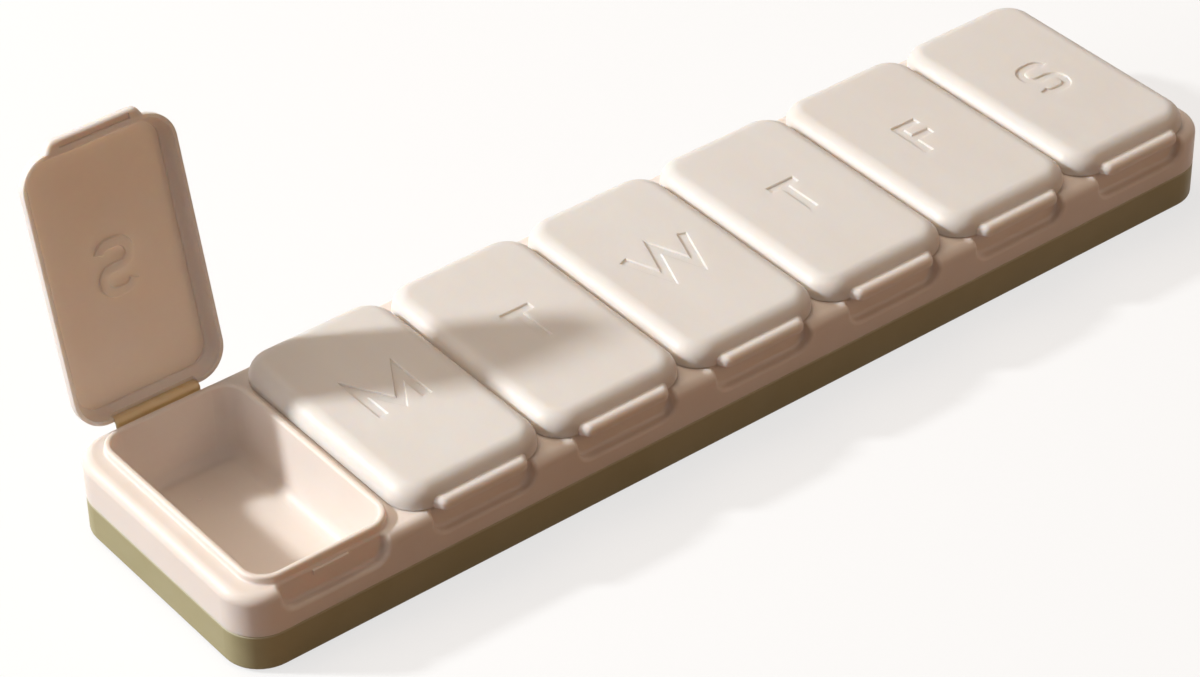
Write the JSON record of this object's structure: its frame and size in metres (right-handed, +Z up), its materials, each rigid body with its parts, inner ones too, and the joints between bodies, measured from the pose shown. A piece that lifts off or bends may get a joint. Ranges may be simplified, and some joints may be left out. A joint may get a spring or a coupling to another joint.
{
  "type": "weekly pill organizer",
  "caption": "Strip of day wells for tablets, each with a flip lid on a living hinge, a thumb tab and a sunk day initial, standing on a lower shell with anti-slip pads.",
  "frame": {"origin": "middle of the case's footprint, on the surface that the pads stand on", "axes": "+X along the strip from the Sunday well to the Saturday well, +Z up, -Y towards the side with the thumb tabs"},
  "size_m": [0.216, 0.0677, 0.0674],
  "materials": {
    "body": "beige polypropylene with a fine satin mould texture",
    "lid": "beige polypropylene with a fine satin mould texture",
    "hinge_web": "thin, slightly translucent golden polypropylene",
    "base": "olive polypropylene, satin",
    "pad": "soft matte elastomer"
  },
  "bodies": {
    "case": {"tray": "body", "base_shell": "base", "hinge_sunday": "hinge_web", "hinge_monday": "hinge_web", "hinge_tuesday": "hinge_web", "hinge_wednesday": "hinge_web", "hinge_thursday": "hinge_web", "hinge_friday": "hinge_web", "hinge_saturday": "hinge_web", "pad_front_left": "pad", "pad_front_right": "pad", "pad_back_left": "pad", "pad_back_right": "pad", "pad_centre": "pad"},
    "lid_sunday": {"lid_sunday": "lid"},
    "lid_monday": {"lid_monday": "lid"},
    "lid_tuesday": {"lid_tuesday": "lid"},
    "lid_wednesday": {"lid_wednesday": "lid"},
    "lid_thursday": {"lid_thursday": "lid"},
    "lid_friday": {"lid_friday": "lid"},
    "lid_saturday": {"lid_saturday": "lid"}
  },
  "joints": [
    {"name": "sunday_lid_flip", "type": "hinge", "parent": "case", "child": "lid_sunday", "pos_m": [-0.09, 0.0259, 0.0159], "axis": [-1, 0, 0], "range_deg": [-103, 77], "stiffness_Nm_per_rad": 0.01, "deforming": ["hinge_sunday"]},
    {"name": "monday_lid_flip", "type": "hinge", "parent": "case", "child": "lid_monday", "pos_m": [-0.06, 0.0259, 0.0159], "axis": [-1, 0, 0], "range_deg": [0, 180], "deforming": ["hinge_monday"]},
    {"name": "tuesday_lid_flip", "type": "hinge", "parent": "case", "child": "lid_tuesday", "pos_m": [-0.03, 0.0259, 0.0159], "axis": [-1, 0, 0], "range_deg": [0, 180], "deforming": ["hinge_tuesday"]},
    {"name": "wednesday_lid_flip", "type": "hinge", "parent": "case", "child": "lid_wednesday", "pos_m": [0, 0.0259, 0.0159], "axis": [-1, 0, 0], "range_deg": [0, 180], "deforming": ["hinge_wednesday"]},
    {"name": "thursday_lid_flip", "type": "hinge", "parent": "case", "child": "lid_thursday", "pos_m": [0.03, 0.0259, 0.0159], "axis": [-1, 0, 0], "range_deg": [0, 180], "deforming": ["hinge_thursday"]},
    {"name": "friday_lid_flip", "type": "hinge", "parent": "case", "child": "lid_friday", "pos_m": [0.06, 0.0259, 0.0159], "axis": [-1, 0, 0], "range_deg": [0, 180], "deforming": ["hinge_friday"]},
    {"name": "saturday_lid_flip", "type": "hinge", "parent": "case", "child": "lid_saturday", "pos_m": [0.09, 0.0259, 0.0159], "axis": [-1, 0, 0], "range_deg": [0, 180], "deforming": ["hinge_saturday"]}
  ]
}
